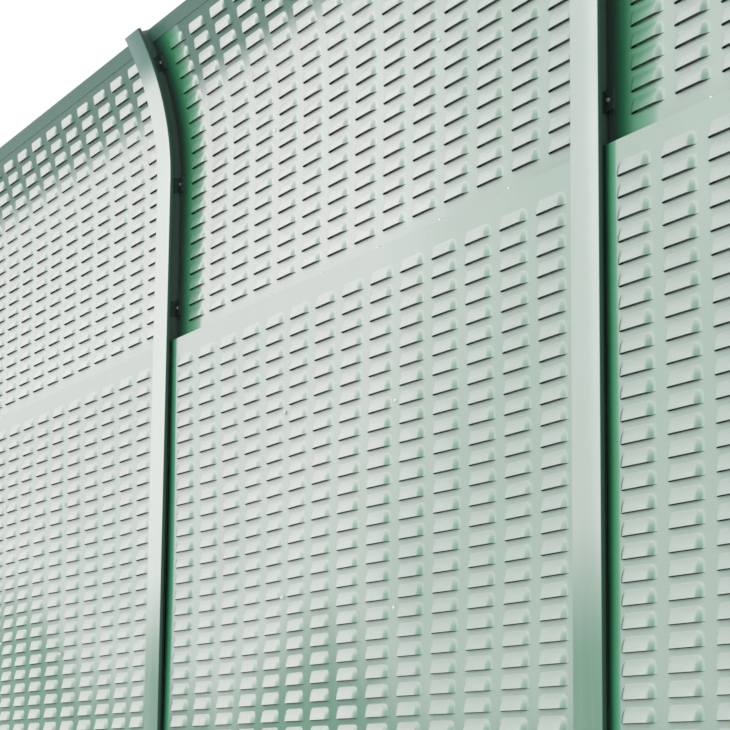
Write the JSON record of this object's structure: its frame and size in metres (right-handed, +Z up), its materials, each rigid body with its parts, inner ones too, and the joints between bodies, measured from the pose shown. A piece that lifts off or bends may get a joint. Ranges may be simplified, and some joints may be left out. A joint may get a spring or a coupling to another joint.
{
  "type": "louvred noise barrier section",
  "caption": "Roadside noise barrier of louvred absorptive panels held between H-section posts on bolted base plates, with a top panel curved towards the road.",
  "frame": {"origin": "centre of the underside of the first post's base plate", "axes": "+X along the wall, -Y towards the road (the louvred side), +Z up"},
  "size_m": [6.3, 0.3281, 3.3582],
  "materials": {
    "sheet_paint": "semi-gloss green coating, faded pale where it faces the sky",
    "post_paint": "gloss green coating, faded on the road face",
    "rail_paint": "gloss deep green coating",
    "tray_paint": "satin green coating with dust",
    "plate_paint": "gloss deep green coating with rust at the edges",
    "cleat_steel": "dark coating, dirty",
    "rubber": "matt black"
  },
  "bodies": {
    "root": {"post_1": "post_paint", "base_plate_1": "plate_paint", "post_2": "post_paint", "base_plate_2": "plate_paint", "post_3": "post_paint", "base_plate_3": "plate_paint", "post_4": "post_paint", "base_plate_4": "plate_paint", "base_panel_1_front": "sheet_paint", "base_panel_1_tray": "tray_paint", "lower_panel_1_front": "sheet_paint", "lower_panel_1_tray": "tray_paint", "upper_panel_1_front": "sheet_paint", "upper_panel_1_tray": "tray_paint", "upper_panel_1_louvres": "sheet_paint", "top_rail_1": "rail_paint", "edge_strips_1": "rubber", "joint_strips_1": "rubber", "panel_cleats_1": "cleat_steel", "base_panel_2_front": "sheet_paint", "base_panel_2_tray": "tray_paint", "lower_panel_2_front": "sheet_paint", "lower_panel_2_tray": "tray_paint", "upper_panel_2_front": "sheet_paint", "upper_panel_2_tray": "tray_paint", "upper_panel_2_louvres": "sheet_paint", "top_rail_2": "rail_paint", "edge_strips_2": "rubber", "joint_strips_2": "rubber", "panel_cleats_2": "cleat_steel", "base_panel_3_front": "sheet_paint", "base_panel_3_tray": "tray_paint", "lower_panel_3_front": "sheet_paint", "lower_panel_3_tray": "tray_paint", "upper_panel_3_front": "sheet_paint", "upper_panel_3_tray": "tray_paint", "upper_panel_3_louvres": "sheet_paint", "top_rail_3": "rail_paint", "edge_strips_3": "rubber", "joint_strips_3": "rubber", "panel_cleats_3": "cleat_steel"}
  },
  "joints": []
}
